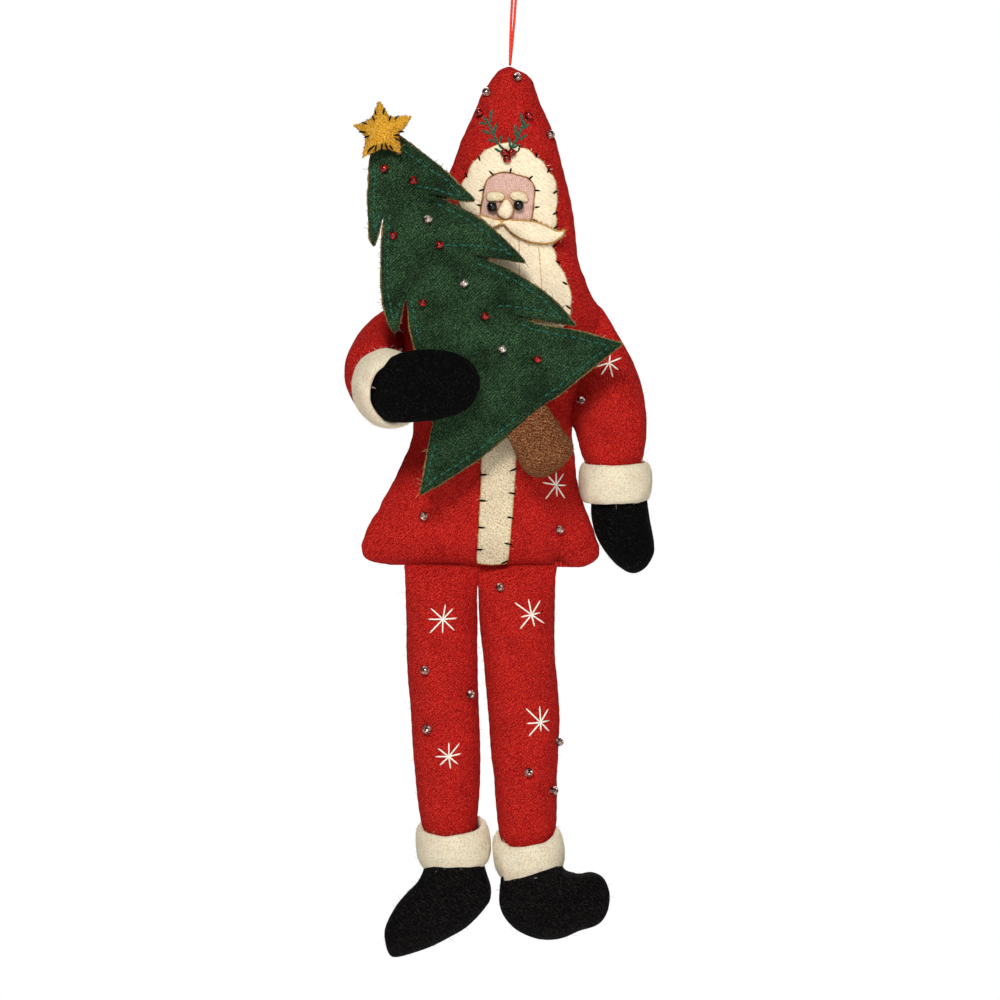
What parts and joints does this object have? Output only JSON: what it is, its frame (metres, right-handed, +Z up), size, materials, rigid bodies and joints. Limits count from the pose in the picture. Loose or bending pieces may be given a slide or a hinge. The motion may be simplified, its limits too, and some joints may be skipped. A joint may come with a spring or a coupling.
{
  "type": "felt christmas ornament",
  "caption": "Stuffed felt figure in a pointed hood and long coat that holds a felt fir tree; its legs and one arm swing, and it hangs by a loop of thread.",
  "frame": {"origin": "inside top of the hanging loop, where it lies on a twig, hook or nail", "axes": "+Z up, from the boots to the loop; +X to the viewer's right; the front of the figure faces -Y"},
  "size_m": [0.0841, 0.0441, 0.3015],
  "materials": {
    "red_wool_felt": "fulled wool twill, matt with a short nap",
    "fibrefill": "loose polyester fibre, hidden",
    "green_wool_felt": "fulled wool felt, matt, raw edges",
    "brown_wool_felt": "fulled wool felt, matt",
    "yellow_wool_felt": "wool felt, matt",
    "red_glass": "lined seed bead, glossy",
    "silver_glass": "silver-lined seed bead, glossy",
    "cream_wool_felt": "fulled wool felt, matt, slightly uneven",
    "pink_wool_felt": "fine wool felt, matt",
    "black_glass": "opaque black bead, glossy",
    "black_wool_felt": "wool felt, matt, deep black",
    "red_thread": "twisted cotton thread, low sheen"
  },
  "bodies": {
    "hanger": {"hanging_loop": "red_thread"},
    "figure": {"coat_front": "red_wool_felt", "coat_back": "red_wool_felt", "coat_stuffing": "fibrefill", "tree_front": "green_wool_felt", "tree_back": "green_wool_felt", "tree_stuffing": "fibrefill", "trunk_front": "brown_wool_felt", "trunk_back": "brown_wool_felt", "trunk_stuffing": "fibrefill", "star_front": "yellow_wool_felt", "star_back": "yellow_wool_felt", "star_stuffing": "fibrefill", "tree_bead_red_1": "red_glass", "tree_bead_red_2": "red_glass", "tree_bead_red_3": "red_glass", "tree_bead_red_4": "red_glass", "tree_bead_red_5": "red_glass", "tree_bead_red_6": "red_glass", "tree_bead_red_7": "red_glass", "tree_bead_silver_1": "silver_glass", "tree_bead_silver_2": "silver_glass", "tree_bead_silver_3": "silver_glass", "face_surround_and_beard": "cream_wool_felt", "face_patch": "pink_wool_felt", "brow_left": "cream_wool_felt", "brow_right": "cream_wool_felt", "moustache": "cream_wool_felt", "nose": "cream_wool_felt", "eye_left": "black_glass", "eye_right": "black_glass", "coat_trim": "cream_wool_felt", "hood_bead_1": "silver_glass", "hood_bead_2": "silver_glass", "hood_bead_3": "silver_glass", "sprig_bead_left": "red_glass", "sprig_bead_right": "red_glass", "holly_berry_1": "red_glass", "holly_berry_2": "red_glass", "holly_berry_3": "red_glass", "coat_bead_1": "silver_glass", "coat_bead_2": "silver_glass", "coat_bead_3": "silver_glass", "holding_arm_felt": "red_wool_felt", "holding_mitten_felt": "black_wool_felt", "holding_arm_cuff": "cream_wool_felt", "holding_arm_stuffing": "fibrefill"},
    "hanging_arm": {"hanging_arm_felt": "red_wool_felt", "hanging_mitten_felt": "black_wool_felt", "hanging_arm_cuff": "cream_wool_felt", "hanging_arm_stuffing": "fibrefill"},
    "left_leg": {"left_leg_felt": "red_wool_felt", "left_boot_felt": "black_wool_felt", "left_ankle_cuff": "cream_wool_felt", "left_leg_stuffing": "fibrefill"},
    "right_leg": {"right_leg_felt": "red_wool_felt", "right_boot_felt": "black_wool_felt", "right_ankle_cuff": "cream_wool_felt", "right_leg_stuffing": "fibrefill"}
  },
  "joints": [
    {"name": "figure_sway", "type": "hinge", "parent": "hanger", "child": "figure", "pos_m": [-0.0036, 0, -0.0619], "axis": [0, 1, 0], "range_deg": [-30, 30]},
    {"name": "hanging_arm_swing", "type": "hinge", "parent": "figure", "child": "hanging_arm", "pos_m": [0.01332, 0, -0.15642], "axis": [0.3147, 0, 0.9492], "range_deg": [-30, 60]},
    {"name": "left_leg_swing", "type": "hinge", "parent": "figure", "child": "left_leg", "pos_m": [-0.0222, 0, -0.1955], "axis": [1, 0, 0], "range_deg": [-60, 60]},
    {"name": "right_leg_swing", "type": "hinge", "parent": "figure", "child": "right_leg", "pos_m": [-0.0016, 0, -0.1955], "axis": [1, 0, 0], "range_deg": [-60, 60]}
  ]
}
